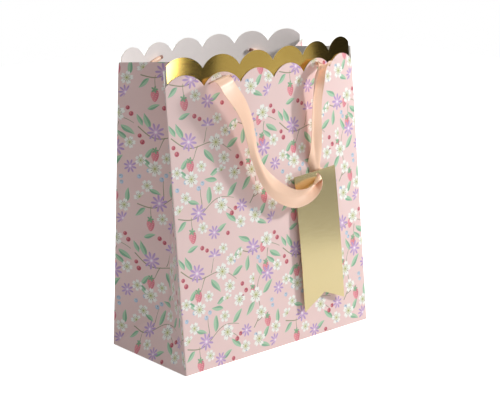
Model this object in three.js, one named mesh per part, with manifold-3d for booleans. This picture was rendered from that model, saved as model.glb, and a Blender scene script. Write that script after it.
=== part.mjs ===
// A scalloped gift bag: a printed paper sheet folded into panels, gussets and bottom flaps, a gilded
// card behind each scalloped edge, two satin ribbon handles and a swallow-tailed hang tag.
// Millimetres, +Z up, front towards -Y. The origin is the middle of the base, on the standing face.
import * as THREE from "three";
import { mergeVertices } from "three/addons/utils/BufferGeometryUtils.js";
import Module from "manifold-3d";

// ---------- driving dimensions ----------
const bagWidth = 200; // flat width of the front and back panels
const bagDepth = 95; // depth of the base and flat width of each gusset
const cutHeight = 234; // straight cut edge of the gussets, and the dips of the gilded cards
const printDrop = 13.5; // the printed panels' dips lie this much below the cards' dips
const scallopCount = 6;
const scallopRise = 9.4; // dip to crown
const frontLean = 24; // how far the mouth's front corners lean in over the base
const backLean = 13;
const frontBow = 13; // bulge of the front panel's top edge between its corners
const backBow = 17.5;

const sheetThickness = 0.4; // laminated printed paper
const cardThickness = 0.5; // gilded card
const boardThickness = 1.5; // loose base board
const pieceGap = 0.45; // clearance between pieces that touch or are glued
const foldGap = 1.1; // paper left out of the solids on each side of a standing fold

const gussetInset = 37.5; // how far the gusset's middle crease is folded in at the mouth
const creaseFootInset = 22; // the same crease at its foot, on top of the base triangle
const creaseFootHeight = 42;
const creaseOffset = 5.5; // the creases stand this far behind the middle of the bag at the mouth
const footOffset = 2;

const cardDepthBelow = 44; // how far the cards reach down inside the mouth
const cardSideMargin = 3; // the cards end this far from the corner folds
const flapOverlap = 16; // the two long bottom flaps are glued over this width beyond the middle
const sideFlapDepth = 46;
const baseClearance = 1.8; // flaps to the panels around them
const boardSideMargin = 6; // base board to the gussets
const boardFrontMargin = 3; // base board to the panels
const seamWidth = 14; // glue flap of the side seam
const seamMargin = 2;

const ribbonWidth = 15;
const ribbonThickness = 0.5;
const slotSpread = 55; // ribbon slots from the middle, along the panel
const slotDrop = 9.5; // ribbon slots below the cards' dips
const slotTilt = 18; // degrees, rising towards the middle
const slotClearance = 1; // slot longer than the ribbon's width, at each end
const slotWidth = 1.7;
const stopDiameter = 2.6; // rolled end of the ribbon inside the mouth
const hingeRise = 1.5; // the handles fold down over a line this much above the slots,
const hingeReach = 8.4; // and this far outside them

const tagWidth = 45.5;
const tagLength = 115;
const tagNotch = 11.5;
const tagThickness = 0.5;
const tagPlace = [38.4, -2.9, -85.8]; // middle of the tag's top edge, from the front hinge line
const tagLean = 2.7; // degrees, its foot stands further forward than its top
const tagRoll = 4.2; // degrees, its foot swings towards +X
const tagSlotTop = 2.6; // top edge of the tag to its slot
const tagSlotLength = 13.5;
const tagSlotCentre = 3.2; // slot to the tag's centre line
const gatherSize = 3; // the ribbon gathered in the tag's slot
const tagSlotWidth = gatherSize + 7;

// ---------- finishes ----------
const finish = (colour, roughness, metalness) =>
  new THREE.MeshStandardMaterial({ color: colour, roughness, metalness, side: THREE.FrontSide });
const printedPaper = finish(0xeccdcb, 0.5, 0);
const giltCard = finish(0xb2964b, 0.22, 0.9);
const bareBoard = finish(0xcfc8bd, 0.8, 0);
const satin = finish(0xf6d2b9, 0.4, 0);
const giltTag = finish(0xd8c27f, 0.25, 0.9);

const wasm = await Module();
wasm.setup();
const bag = new THREE.Group();
const lerp = (a, b, t) => a + (b - a) * t;
const radians = THREE.MathUtils.degToRad;

function add(name, geometry, material) {
  geometry.computeVertexNormals();
  const mesh = new THREE.Mesh(geometry, material);
  mesh.name = name;
  bag.add(mesh);
}

// A closed body from points and triangles, turned right way out.
function closedBody(points, triangles) {
  let volume = 0;
  const edge = new THREE.Vector3();
  for (const [a, b, c] of triangles) {
    volume += edge.crossVectors(points[b], points[c]).dot(points[a]);
  }
  const faces = volume < 0 ? triangles.map(([a, b, c]) => [a, c, b]) : triangles;
  const geometry = new THREE.BufferGeometry();
  const flat = points.flatMap((p) => [p.x, p.y, p.z]);
  geometry.setAttribute("position", new THREE.Float32BufferAttribute(flat, 3));
  geometry.setIndex(faces.flat());
  return geometry;
}

// A sheet of even thickness on both sides of a grid of points, grid[column][row].
function sheetBody(grid, thickness) {
  const columns = grid.length;
  const rows = grid[0].length;
  const points = [];
  for (const side of [0.5, -0.5]) {
    for (let i = 0; i < columns; i++) {
      for (let j = 0; j < rows; j++) {
        const along = new THREE.Vector3().subVectors(
          grid[Math.min(i + 1, columns - 1)][j], grid[Math.max(i - 1, 0)][j]);
        const up = new THREE.Vector3().subVectors(
          grid[i][Math.min(j + 1, rows - 1)], grid[i][Math.max(j - 1, 0)]);
        const normal = along.cross(up).normalize();
        points.push(grid[i][j].clone().addScaledVector(normal, side * thickness));
      }
    }
  }
  const layer = columns * rows;
  const at = (i, j, side) => side * layer + i * rows + j;
  const triangles = [];
  const quad = (a, b, c, d) => triangles.push([a, b, c], [a, c, d]);
  for (let i = 0; i + 1 < columns; i++) {
    for (let j = 0; j + 1 < rows; j++) {
      quad(at(i, j, 0), at(i + 1, j, 0), at(i + 1, j + 1, 0), at(i, j + 1, 0));
      quad(at(i, j, 1), at(i, j + 1, 1), at(i + 1, j + 1, 1), at(i + 1, j, 1));
    }
    quad(at(i, 0, 1), at(i + 1, 0, 1), at(i + 1, 0, 0), at(i, 0, 0));
    const top = rows - 1;
    quad(at(i, top, 0), at(i + 1, top, 0), at(i + 1, top, 1), at(i, top, 1));
  }
  for (let j = 0; j + 1 < rows; j++) {
    const end = columns - 1;
    quad(at(0, j, 1), at(0, j, 0), at(0, j + 1, 0), at(0, j + 1, 1));
    quad(at(end, j, 0), at(end, j, 1), at(end, j + 1, 1), at(end, j + 1, 0));
  }
  return closedBody(points, triangles);
}

// A band swept through stations [x, y, z, across x, y, z, width, thickness], smooth between them.
function bandBody(stations, steps) {
  const centres = new THREE.CatmullRomCurve3(
    stations.map((s) => new THREE.Vector3(s[0], s[1], s[2])), false, "centripetal");
  const count = (stations.length - 1) * steps;
  const points = [];
  for (let k = 0; k <= count; k++) {
    const t = k / count;
    const reach = t * (stations.length - 1);
    const i = Math.min(Math.floor(reach), stations.length - 2);
    const mix = (n) => lerp(stations[i][n], stations[i + 1][n], reach - i);
    const centre = centres.getPoint(t);
    const along = centres.getTangent(t);
    const across = new THREE.Vector3(mix(3), mix(4), mix(5));
    across.addScaledVector(along, -across.dot(along)).normalize();
    const face = new THREE.Vector3().crossVectors(along, across);
    const [halfWidth, halfThick] = [mix(6) / 2, mix(7) / 2];
    for (const [u, v] of [[-1, -1], [1, -1], [1, 1], [-1, 1]]) {
      points.push(centre.clone()
        .addScaledVector(across, u * halfWidth).addScaledVector(face, v * halfThick));
    }
  }
  const triangles = [[0, 2, 1], [0, 3, 2]];
  for (let k = 0; k < count; k++) {
    for (let c = 0; c < 4; c++) {
      const [a, b] = [4 * k + c, 4 * k + ((c + 1) % 4)];
      triangles.push([a, b, b + 4], [a, b + 4, a + 4]);
    }
  }
  const last = 4 * count;
  triangles.push([last, last + 1, last + 2], [last, last + 2, last + 3]);
  return closedBody(points, triangles);
}

function toSolid(geometry) {
  const bare = geometry.clone();
  bare.deleteAttribute("normal");
  bare.deleteAttribute("uv");
  const merged = mergeVertices(bare, 1e-5);
  return new wasm.Manifold(new wasm.Mesh({
    numProp: 3,
    vertProperties: new Float32Array(merged.attributes.position.array),
    triVerts: new Uint32Array(merged.index.array),
  }));
}

function fromSolid(solid) {
  const mesh = solid.getMesh();
  const geometry = new THREE.BufferGeometry();
  geometry.setAttribute("position", new THREE.Float32BufferAttribute(mesh.vertProperties, 3));
  geometry.setIndex(Array.from(mesh.triVerts));
  return geometry;
}

// ---------- the front and back panels ----------
// Each panel runs straight across at the base and along an arc at the mouth, and is straight
// between the two. Side is -1 for the front and 1 for the back.
const walls = {
  front: { side: -1, lean: frontLean, bow: frontBow },
  back: { side: 1, lean: backLean, bow: backBow },
};

function wallPoint(wall, along, height, inward) {
  const turn = (8 * wall.bow) / bagWidth; // angle of the mouth's arc, its length kept
  const radius = bagWidth / turn;
  const angle = along / radius;
  const bulge = radius * (Math.cos(angle) - Math.cos(turn / 2));
  const half = bagDepth / 2 - sheetThickness / 2;
  const share = height / cutHeight;
  const base = new THREE.Vector3(along, wall.side * half, 0);
  const mouth = new THREE.Vector3(
    radius * Math.sin(angle), wall.side * (half - wall.lean + bulge), cutHeight);
  const point = base.lerp(mouth, share);
  point.z = height;
  const facing = new THREE.Vector3(
    Math.sin(angle) * share, wall.side, (wall.lean - bulge) / cutHeight).normalize();
  return point.addScaledVector(facing, -inward);
}

const pitch = bagWidth / scallopCount;
const scallopRadius = (pitch * pitch / 4 + scallopRise * scallopRise) / (2 * scallopRise);

// Height of a scalloped edge whose dips are at the given height.
function scallopHeight(along, dips) {
  const fromStart = (along + bagWidth / 2) / pitch;
  const index = Math.min(Math.max(Math.floor(fromStart), 0), scallopCount - 1);
  const offset = (fromStart - index - 0.5) * pitch;
  return dips + Math.sqrt(scallopRadius ** 2 - offset ** 2) - (scallopRadius - scallopRise);
}

function panelGrid(wall, margin, bottom, dips, inward) {
  const stepsPerScallop = 8;
  const count = scallopCount * stepsPerScallop;
  const limit = bagWidth / 2 - margin;
  const grid = [];
  for (let i = 0; i <= count; i++) {
    const along = THREE.MathUtils.clamp(lerp(-bagWidth / 2, bagWidth / 2, i / count), -limit, limit);
    const heights = [bottom, lerp(bottom, dips, 0.5), dips - 1, scallopHeight(along, dips)];
    grid.push(heights.map((height) => wallPoint(wall, along, height, inward)));
  }
  return grid;
}

const slotHeight = cutHeight - slotDrop;

// Where a ribbon slot is: its middle, the slanted line it is cut along and the way out of it.
function slotPlace(wall, hand) {
  const middle = wallPoint(wall, hand * slotSpread, slotHeight, 0);
  const inner = wallPoint(wall, hand * (slotSpread - 1), slotHeight, 0);
  const towardsMiddle = inner.sub(middle).normalize();
  const outward = new THREE.Vector3(-towardsMiddle.y, towardsMiddle.x, 0)
    .multiplyScalar(-hand * wall.side);
  const line = towardsMiddle.multiplyScalar(Math.cos(radians(slotTilt)));
  line.z = Math.sin(radians(slotTilt));
  return { middle, line, outward };
}

// Slots for the ribbon, cut through a panel or a card.
function slotCutters(wall) {
  return [-1, 1].map((hand) => {
    const { middle, line, outward } = slotPlace(wall, hand);
    const cutter = new THREE.BoxGeometry(ribbonWidth + 2 * slotClearance, 12, slotWidth);
    const height = new THREE.Vector3().crossVectors(line, outward);
    cutter.applyMatrix4(new THREE.Matrix4().makeBasis(line, outward, height).setPosition(middle));
    return toSolid(cutter);
  });
}

function slotted(geometry, wall) {
  const cutters = slotCutters(wall);
  return fromSolid(toSolid(geometry).subtract(cutters[0]).subtract(cutters[1]));
}

const printDips = cutHeight - printDrop;
const cardInward = (sheetThickness + cardThickness) / 2 + pieceGap;
for (const [name, wall] of Object.entries(walls)) {
  const sheet = sheetBody(panelGrid(wall, foldGap, 0, printDips, 0), sheetThickness);
  add(`${name}_panel`, slotted(sheet, wall), printedPaper);
  const card = panelGrid(wall, cardSideMargin, cutHeight - cardDepthBelow, cutHeight, cardInward);
  add(`${name}_gilt_card`, slotted(sheetBody(card, cardThickness), wall), giltCard);
}

// ---------- the gussets ----------
// A corner fold, from the base corner to the mouth corner. Hand is -1 for the left gusset.
function cornerPoint(wall, hand, height) {
  return wallPoint(wall, hand * bagWidth / 2, height, 0);
}

function creasePoint(hand, height) {
  const share = (height - creaseFootHeight) / (cutHeight - creaseFootHeight);
  const inset = lerp(creaseFootInset, gussetInset, share);
  return new THREE.Vector3(
    hand * (bagWidth / 2 - inset), lerp(footOffset, creaseOffset, share), height);
}

// One standing half of a gusset: corner fold, slanted base crease, middle crease and cut edge.
function gussetHalf(wall, hand) {
  const halfWidth = bagDepth / 2;
  const [columns, rows] = [6, 8];
  const grid = [];
  for (let i = 0; i <= columns; i++) {
    const across = lerp(foldGap / halfWidth, 1 - foldGap / halfWidth, i / columns);
    const column = [];
    for (let j = 0; j <= rows; j++) {
      const up = lerp(2 * foldGap / cutHeight, 1, j / rows);
      const corner = cornerPoint(wall, hand, lerp(0, cutHeight, up));
      const crease = creasePoint(hand, lerp(creaseFootHeight, cutHeight, up));
      column.push(corner.lerp(crease, across));
    }
    grid.push(column);
  }
  return sheetBody(grid, sheetThickness);
}

// A flat plate between three or more points of one plane, drawn in from its edges.
function plateBody(corners, inset, thickness) {
  const middle = new THREE.Vector3();
  corners.forEach((corner) => middle.addScaledVector(corner, 1 / corners.length));
  const right = new THREE.Vector3().subVectors(corners[1], corners[0]).normalize();
  const normal = new THREE.Vector3()
    .crossVectors(right, new THREE.Vector3().subVectors(corners[2], corners[0])).normalize();
  const up = new THREE.Vector3().crossVectors(normal, right);
  const outline = corners.map((corner) => {
    const offset = new THREE.Vector3().subVectors(corner, middle);
    const shrink = 1 - inset / offset.length();
    return new THREE.Vector2(offset.dot(right) * shrink, offset.dot(up) * shrink);
  });
  const plate = new THREE.ExtrudeGeometry(new THREE.Shape(outline),
    { depth: thickness, bevelEnabled: false });
  plate.translate(0, 0, -thickness / 2);
  plate.applyMatrix4(new THREE.Matrix4().makeBasis(right, up, normal).setPosition(middle));
  return plate;
}

for (const [handName, hand] of [["left", -1], ["right", 1]]) {
  for (const [name, wall] of Object.entries(walls)) {
    add(`${handName}_gusset_${name}_half`, gussetHalf(wall, hand), printedPaper);
  }
  const triangle = [
    cornerPoint(walls.front, hand, 0), cornerPoint(walls.back, hand, 0),
    creasePoint(hand, creaseFootHeight)];
  add(`${handName}_gusset_base_triangle`, plateBody(triangle, 3 * foldGap, sheetThickness),
    printedPaper);
}

// ---------- the bottom flaps, the side seam and the base board ----------
function flatPlate(outline, bottom, thickness) {
  const shape = new THREE.Shape(outline.map(([x, y]) => new THREE.Vector2(x, y)));
  return new THREE.ExtrudeGeometry(shape, { depth: thickness, bevelEnabled: false })
    .translate(0, 0, bottom);
}

const layerStep = sheetThickness + pieceGap;
const baseX = bagWidth / 2 - baseClearance;
const baseY = bagDepth / 2 - baseClearance;
const flapChamfer = 5;

// A long flap as wide as the base, its free corners cut off at an angle.
function longFlap(side, reach, layer) {
  const free = -side * reach;
  return flatPlate([
    [-baseX, side * baseY], [baseX, side * baseY], [baseX, free + side * flapChamfer],
    [baseX - flapChamfer, free], [flapChamfer - baseX, free], [-baseX, free + side * flapChamfer],
  ], layer * layerStep, sheetThickness);
}

add("bottom_flap_front", longFlap(-1, baseY - boardFrontMargin, 0), printedPaper);
add("bottom_flap_back", longFlap(1, flapOverlap, 1), printedPaper);
for (const [handName, hand] of [["left", -1], ["right", 1]]) {
  const free = hand * (baseX - sideFlapDepth);
  const outer = hand * baseX;
  const taper = sideFlapDepth / 2;
  add(`bottom_flap_${handName}`, flatPlate([
    [outer, -baseY], [outer, baseY], [free, baseY - taper], [free, taper - baseY],
  ], 2 * layerStep, sheetThickness), printedPaper);
}

const boardX = bagWidth / 2 - boardSideMargin;
const boardY = bagDepth / 2 - boardFrontMargin;
add("base_board", flatPlate([[-boardX, -boardY], [boardX, -boardY], [boardX, boardY],
  [-boardX, boardY]], 3 * layerStep, boardThickness), bareBoard);

const seamGrid = [];
const seamOuter = bagWidth / 2 - cardSideMargin - seamMargin;
for (let i = 0; i <= 4; i++) {
  const along = lerp(seamOuter, seamOuter - seamWidth, i / 4);
  const top = cutHeight - cardDepthBelow - seamMargin;
  const bottom = 3 * layerStep + boardThickness + 2 * seamMargin;
  seamGrid.push([bottom, lerp(bottom, top, 0.5), top].map(
    (height) => wallPoint(walls.back, along, height, cardInward)));
}
add("side_seam_flap", sheetBody(seamGrid, sheetThickness), printedPaper);

// ---------- the ribbon handles ----------
// Each ribbon end: a rolled stop inside the mouth and the stretch that comes out of the slot.
function ribbonEnd(wall, hand) {
  const { middle, line, outward } = slotPlace(wall, hand);
  const inside = cardInward + cardThickness / 2 + pieceGap + stopDiameter / 2;
  const station = (out, up) => {
    const centre = middle.clone().addScaledVector(outward, out);
    return [centre.x, centre.y, centre.z + up, ...line.toArray(), ribbonWidth, ribbonThickness];
  };
  const end = station(hingeReach - 0.8, hingeRise);
  [end[3], end[4], end[5]] = [-hand, 0, 0];
  const stretch = bandBody([station(-inside, 0), station(0, 0), station(2.5, 0.1), end], 3);
  const roll = new THREE.CylinderGeometry(stopDiameter / 2, stopDiameter / 2,
    ribbonWidth + 1.5, 16);
  roll.applyQuaternion(new THREE.Quaternion().setFromUnitVectors(new THREE.Vector3(0, 1, 0), line));
  const rolled = middle.clone().addScaledVector(outward, -inside);
  roll.translate(rolled.x, rolled.y, rolled.z);
  return fromSolid(toSolid(stretch).add(toSolid(roll)));
}

for (const [name, wall] of Object.entries(walls)) {
  add(`${name}_ribbon_end_left`, ribbonEnd(wall, -1), satin);
  add(`${name}_ribbon_end_right`, ribbonEnd(wall, 1), satin);
}

// The hinge line of a handle, which its loop hangs from.
function hingeLine(wall) {
  const { middle, outward } = slotPlace(wall, 1);
  return [0, middle.y + outward.y * hingeReach, slotHeight + hingeRise];
}

// A loop of ribbon from stations given from its hinge line, their widths as shares of the ribbon's.
function loopBody(wall, stations, steps) {
  const origin = hingeLine(wall);
  return bandBody(stations.map(([x, y, z, ax, ay, az, share, thickness]) => [
    x, y + origin[1], z + origin[2], ax, ay, az, share * ribbonWidth, thickness]), steps);
}

// The front loop hangs outside the front panel. Its left leg comes down and twists, the lower
// stretch runs to the tag, is gathered through the tag's slot and goes up behind the tag.
const gather = gatherSize / ribbonWidth;
const frontRoute = [
  [-55.2, -0.7, -1.5, 1, 0, 0, 1, 0.5],
  [-55, -1.8, -4.6, 1, 0, 0.04, 1, 0.5],
  [-52, -3, -10, 0.95, -0.05, 0.22, 1, 0.5],
  [-46, -3.4, -18.4, 0.93, -0.08, 0.34, 1, 0.5],
  [-40, -3.7, -30, 0.94, -0.08, 0.3, 1, 0.5],
  [-35.8, -4.4, -45, 0.96, -0.05, 0.22, 1, 0.5],
  [-30.6, -5.4, -61, 0.9, 0, 0.4, 1, 0.5],
  [-23.4, -6.2, -74.5, 0.75, 0.15, 0.65, 0.93, 0.6],
  [-13, -7, -85.5, 0.5, 0.05, 0.86, 0.93, 0.6],
  [0, -7.8, -94, 0.3, 0, 0.95, 0.93, 0.5],
  [13, -8.4, -97.5, 0.1, 0, 1, 0.93, 0.5],
  [25, -8.2, -97.8, 0, 0, 1, 0.8, 0.8],
  [34, -7.2, -97.2, 0, 0, 1, 0.4, 2],
  [38.6, -5.9, -96.6, 0, 0, 1, gather, 2.6],
  [41.4, -3.4, -96, 0, 0, 1, gather, 2.6],
  [43.2, -1, -93, -0.4, 0.2, 0.8, gather, 2],
  [43.8, -0.7, -86.5, -1, 0, 0, 0.37, 0.8],
  [43.8, -1.2, -78, -1, 0.02, 0, 0.49, 0.6],
  [43.4, -1.4, -70, -1, 0.04, 0, 0.7, 0.5],
  [42.6, -1.4, -58, -1, 0.06, 0, 0.87, 0.5],
  [42, -1.4, -38, -1, 0.1, 0, 1, 0.5],
  [43.6, -2.2, -21, -0.98, 0.1, 0.12, 1, 0.5],
  [51, -2.7, -9.6, -0.96, 0.05, 0.2, 1, 0.5],
  [54.9, -1.8, -4.6, -1, 0, 0.04, 1, 0.5],
  [55.2, -0.7, -1.5, -1, 0, 0, 1, 0.5],
];
add("front_ribbon_loop", loopBody(walls.front, frontRoute, 3), satin);

// The back loop hangs outside the back panel in a plain U.
const backHalfRoute = [
  [55.6, 0.9, -1.5, -1, 0, 0, 1, 0.5],
  [55.4, 2, -4.7, -1, 0, 0.02, 1, 0.5],
  [53.8, 2.9, -10.5, -1, 0, 0.06, 1, 0.5],
  [50.2, 3.3, -21, -1, 0, 0.1, 1, 0.5],
  [46, 2.5, -38, -1, 0, 0.15, 1, 0.5],
  [40.4, 1.5, -56, -0.96, 0, 0.28, 1, 0.5],
  [33, 0.7, -74, -0.9, 0, 0.43, 1, 0.5],
  [22, -0.1, -89, -0.75, 0, 0.66, 1, 0.5],
  [10, -0.5, -96.5, -0.4, 0, 0.92, 1, 0.5],
];
const backRoute = [
  ...backHalfRoute.map((s) => [-s[0], s[1], s[2], -s[3], s[4], s[5], s[6], s[7]]),
  [0, -0.6, -98, 0, 0, 1, 1, 0.5],
  ...backHalfRoute.toReversed(),
];
add("back_ribbon_loop", loopBody(walls.back, backRoute, 2), satin);

// ---------- the hang tag ----------
const tagShape = new THREE.Shape([
  new THREE.Vector2(-tagWidth / 2, 0), new THREE.Vector2(-tagWidth / 2, -tagLength),
  new THREE.Vector2(0, tagNotch - tagLength), new THREE.Vector2(tagWidth / 2, -tagLength),
  new THREE.Vector2(tagWidth / 2, 0),
]);
const tagSlot = new THREE.Path();
tagSlot.moveTo(tagSlotCentre - tagSlotWidth / 2, -tagSlotTop);
tagSlot.lineTo(tagSlotCentre + tagSlotWidth / 2, -tagSlotTop);
tagSlot.lineTo(tagSlotCentre + tagSlotWidth / 2, -tagSlotTop - tagSlotLength);
tagSlot.lineTo(tagSlotCentre - tagSlotWidth / 2, -tagSlotTop - tagSlotLength);
tagSlot.closePath();
tagShape.holes.push(tagSlot);
const tag = new THREE.ExtrudeGeometry(tagShape, { depth: tagThickness, bevelEnabled: false });
tag.translate(0, 0, -tagThickness / 2).rotateZ(radians(tagRoll)).rotateX(Math.PI / 2);
const frontHinge = hingeLine(walls.front);
tag.rotateX(-radians(tagLean)).translate(...tagPlace.map((offset, axis) => offset + frontHinge[axis]));
add("hang_tag", tag, giltTag);

export default bag;
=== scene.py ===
# %% [markdown]
# # A scalloped paper gift bag
# A gift bag is one printed sheet, folded and glued. This one has a scalloped mouth, a gilded card
# behind each scalloped edge, two satin ribbon handles and a gilded hang tag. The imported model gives
# the places and the bodies that move. Everything seen is modelled here, in metres, around it.

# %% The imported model
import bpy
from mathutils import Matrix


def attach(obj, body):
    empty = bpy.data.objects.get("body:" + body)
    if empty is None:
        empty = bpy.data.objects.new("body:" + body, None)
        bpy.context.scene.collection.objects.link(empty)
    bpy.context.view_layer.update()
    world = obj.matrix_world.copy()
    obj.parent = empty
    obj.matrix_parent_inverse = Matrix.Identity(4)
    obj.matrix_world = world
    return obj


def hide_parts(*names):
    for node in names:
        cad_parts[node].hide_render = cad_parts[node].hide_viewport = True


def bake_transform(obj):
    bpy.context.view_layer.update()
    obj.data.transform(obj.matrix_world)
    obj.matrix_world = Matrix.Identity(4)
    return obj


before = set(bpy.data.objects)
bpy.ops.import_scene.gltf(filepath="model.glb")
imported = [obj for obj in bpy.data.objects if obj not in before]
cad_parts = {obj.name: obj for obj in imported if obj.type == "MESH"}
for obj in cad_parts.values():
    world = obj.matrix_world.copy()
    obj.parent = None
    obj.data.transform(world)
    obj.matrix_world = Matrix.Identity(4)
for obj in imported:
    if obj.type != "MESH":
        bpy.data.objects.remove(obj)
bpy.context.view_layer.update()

# %% Modules and the colour transform
import math

import bpy
import numpy as np
from mathutils import Matrix, Vector, noise

scene = bpy.context.scene
scene.view_settings.view_transform = "Standard"
print("view transform:", scene.view_settings.view_transform)

# %% [markdown]
# ## Camera
# The bag is seen from its front left and a little from above, with a long lens, so that its upright
# edges stay nearly parallel. A camera looks along its own -Z, so the view direction is turned into
# a rotation that keeps the picture level.

# %% Camera
view_from = Vector((-0.72977, -0.83589, 0.40800))
view_along = Vector((0.63927, 0.72478, -0.25696))
bpy.ops.object.camera_add(location=view_from, rotation=view_along.to_track_quat("-Z", "Y").to_euler())
camera = bpy.context.object
camera.name = "camera"
camera.data.lens = 100.76
camera.data.sensor_width = 36
camera.data.clip_start = 0.01
scene.camera = camera
print("camera at", tuple(round(c, 3) for c in camera.location), "lens", camera.data.lens)

# %% [markdown]
# ## Sizes
# These are the real bag's sizes. The panels stand upright at the base and lean in towards the mouth,
# where they bow outwards between their corners.

# %% Sizes of the bag
BAG_WIDTH, BAG_DEPTH, CUT_HEIGHT = 0.200, 0.095, 0.234
PRINT_DROP = 0.0135  # the printed scallops end this far below the gilded ones
SCALLOPS, SCALLOP_RISE = 6, 0.0094
PAPER, CARD, GAP = 0.0004, 0.0005, 0.00045
WALLS = {"front": (-1, 0.024, 0.013), "back": (1, 0.013, 0.0175)}  # side, lean, bow
HALF_GUSSET = BAG_DEPTH / 2
CREASE_FOOT_HEIGHT, FOOT_INSET, MOUTH_INSET = 0.042, 0.022, 0.0375
CARD_DEPTH = 0.044  # how far the gilded cards reach down from the cut edge
PITCH = BAG_WIDTH / SCALLOPS
SCALLOP_RADIUS = (PITCH**2 / 4 + SCALLOP_RISE**2) / (2 * SCALLOP_RISE)
print(f"scallop: {PITCH * 1000:.1f} mm wide, radius {SCALLOP_RADIUS * 1000:.1f} mm")


# %% Where a point of a wall, a corner fold or a gusset crease is
def wall_point(wall, along, height, inward=0.0):
    side, lean, bow = WALLS[wall]
    turn = 8 * bow / BAG_WIDTH
    radius = BAG_WIDTH / turn
    angle = along / radius
    bulge = radius * (math.cos(angle) - math.cos(turn / 2))
    share = height / CUT_HEIGHT
    facing = Vector((math.sin(angle) * share, side, (lean - bulge) / CUT_HEIGHT)).normalized()
    half = BAG_DEPTH / 2 - PAPER / 2
    middle = Vector((along + (radius * math.sin(angle) - along) * share,
                     side * (half - (lean - bulge) * share), height))
    return middle - facing * inward


def corner_point(wall, hand, height):
    return wall_point(wall, hand * BAG_WIDTH / 2, height)


def crease_point(hand, height):
    share = (height - CREASE_FOOT_HEIGHT) / (CUT_HEIGHT - CREASE_FOOT_HEIGHT)
    inset = FOOT_INSET + (MOUTH_INSET - FOOT_INSET) * share
    return Vector((hand * (BAG_WIDTH / 2 - inset), 0.002 + 0.0035 * share, height))


def scallop_height(along, dips):
    from_start = (along + BAG_WIDTH / 2) / PITCH
    index = min(max(math.floor(from_start), 0), SCALLOPS - 1)
    offset = (from_start - index - 0.5) * PITCH
    return dips + math.sqrt(SCALLOP_RADIUS**2 - offset**2) - (SCALLOP_RADIUS - SCALLOP_RISE)


print("front left mouth corner", tuple(round(c, 4) for c in corner_point("front", -1, CUT_HEIGHT)))

# %% [markdown]
# ## A sheet cut flat
# Paper, card and ribbon all start flat. A grid primitive is laid out as the flat sheet, its columns
# and rows moved to where the folds will be, and its UV map is the flat sheet itself in metres. A
# print or a weave then runs over the folds as it does on the real sheet. Only after that does each
# point move to its folded place. Thickness is a Solidify modifier, which can give the inside and
# the cut edge a finish of their own.


# %% Flat sheets and how they are finished
def flat_sheet(name, columns, rows):
    """A grid with one column and one row for each given place, and each point's column and row number."""
    select_only()
    bpy.ops.mesh.primitive_grid_add(
        x_subdivisions=len(columns) - 1, y_subdivisions=len(rows) - 1, size=2, calc_uvs=True)
    sheet = bpy.context.object
    sheet.name = sheet.data.name = name
    points = np.empty(len(sheet.data.vertices) * 3)
    sheet.data.vertices.foreach_get("co", points)
    points = points.reshape(-1, 3)
    i = np.rint((points[:, 0] + 1) / 2 * (len(columns) - 1)).astype(int)
    j = np.rint((points[:, 1] + 1) / 2 * (len(rows) - 1)).astype(int)
    return sheet, i, j


def lay_flat(sheet, across, along):
    """The UV map is the flat sheet in metres."""
    loops = np.empty(len(sheet.data.loops), int)
    sheet.data.loops.foreach_get("vertex_index", loops)
    flat = np.stack([across[loops], along[loops]], axis=1)
    sheet.data.uv_layers.active.data.foreach_set("uv", flat.ravel().astype(np.float32))


def move_points(piece, points):
    piece.data.vertices.foreach_set("co", np.asarray(points, np.float32).ravel())
    piece.data.update()


def select_only(piece=None):
    bpy.ops.object.select_all(action="DESELECT")
    if piece:
        piece.select_set(True)
        bpy.context.view_layer.objects.active = piece


def apply_modifiers(piece):
    select_only(piece)
    for modifier in list(piece.modifiers):
        bpy.ops.object.modifier_apply(modifier=modifier.name)


def thicken(piece, thickness, offset=0.0, inside=0, edge=0):
    """Solidify: inside and edge count on from the outside's material slot."""
    solidify = piece.modifiers.new("thickness", "SOLIDIFY")
    solidify.thickness = thickness
    solidify.offset = offset
    solidify.material_offset = inside
    solidify.material_offset_rim = edge
    solidify.use_even_offset = True
    apply_modifiers(piece)


def cut_away(piece, cutter):
    cut = piece.modifiers.new("cut", "BOOLEAN")
    cut.operation, cut.object, cut.solver = "DIFFERENCE", cutter, "EXACT"
    apply_modifiers(piece)
    bpy.data.objects.remove(cutter)


def smooth(piece, degrees):
    select_only(piece)
    bpy.ops.object.shade_smooth_by_angle(angle=math.radians(degrees))


def finish_with(piece, *materials):
    piece.data.materials.clear()
    for material in materials:
        piece.data.materials.append(material)


def report(piece):
    triangles = sum(len(p.vertices) - 2 for p in piece.data.polygons)
    print(f"{piece.name}: {triangles} triangles")


# %% [markdown]
# ## Finishes
# Each material is a Principled shader with its own pattern. A few short helpers keep the wiring of
# nodes readable, and a small class turns plain arithmetic into the nodes that work it out.


# %% Helpers for wiring nodes
def rgb(code):
    """A colour written as on a paint chart, turned into the linear light that shaders use."""
    parts = [int(code[k:k + 2], 16) / 255 for k in (0, 2, 4)]
    linear = [p / 12.92 if p <= 0.04045 else ((p + 0.055) / 1.055) ** 2.4 for p in parts]
    return (*linear, 1.0)


def wire(tree, kind, inputs=None, **settings):
    node = tree.nodes.new(kind)
    for name, value in settings.items():
        setattr(node, name, value)
    for name, value in (inputs or {}).items():
        socket = node.inputs[name]
        if isinstance(value, bpy.types.NodeSocket):
            tree.links.new(value, socket)
        else:
            socket.default_value = value
    return node


def sums(tree, operation, *values):
    return wire(tree, "ShaderNodeMath", dict(enumerate(values)), operation=operation).outputs[0]


def blend_colours(tree, share, below, above):
    node = wire(tree, "ShaderNodeMix", {0: share, 6: below, 7: above}, data_type="RGBA")
    return node.outputs[2]


def new_material(name, **settings):
    material = bpy.data.materials.new(name)
    material.use_nodes = True
    shader = material.node_tree.nodes["Principled BSDF"]
    for socket, value in settings.items():
        shader.inputs[socket.replace("_", " ")].default_value = value
    return material, material.node_tree, shader


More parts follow.
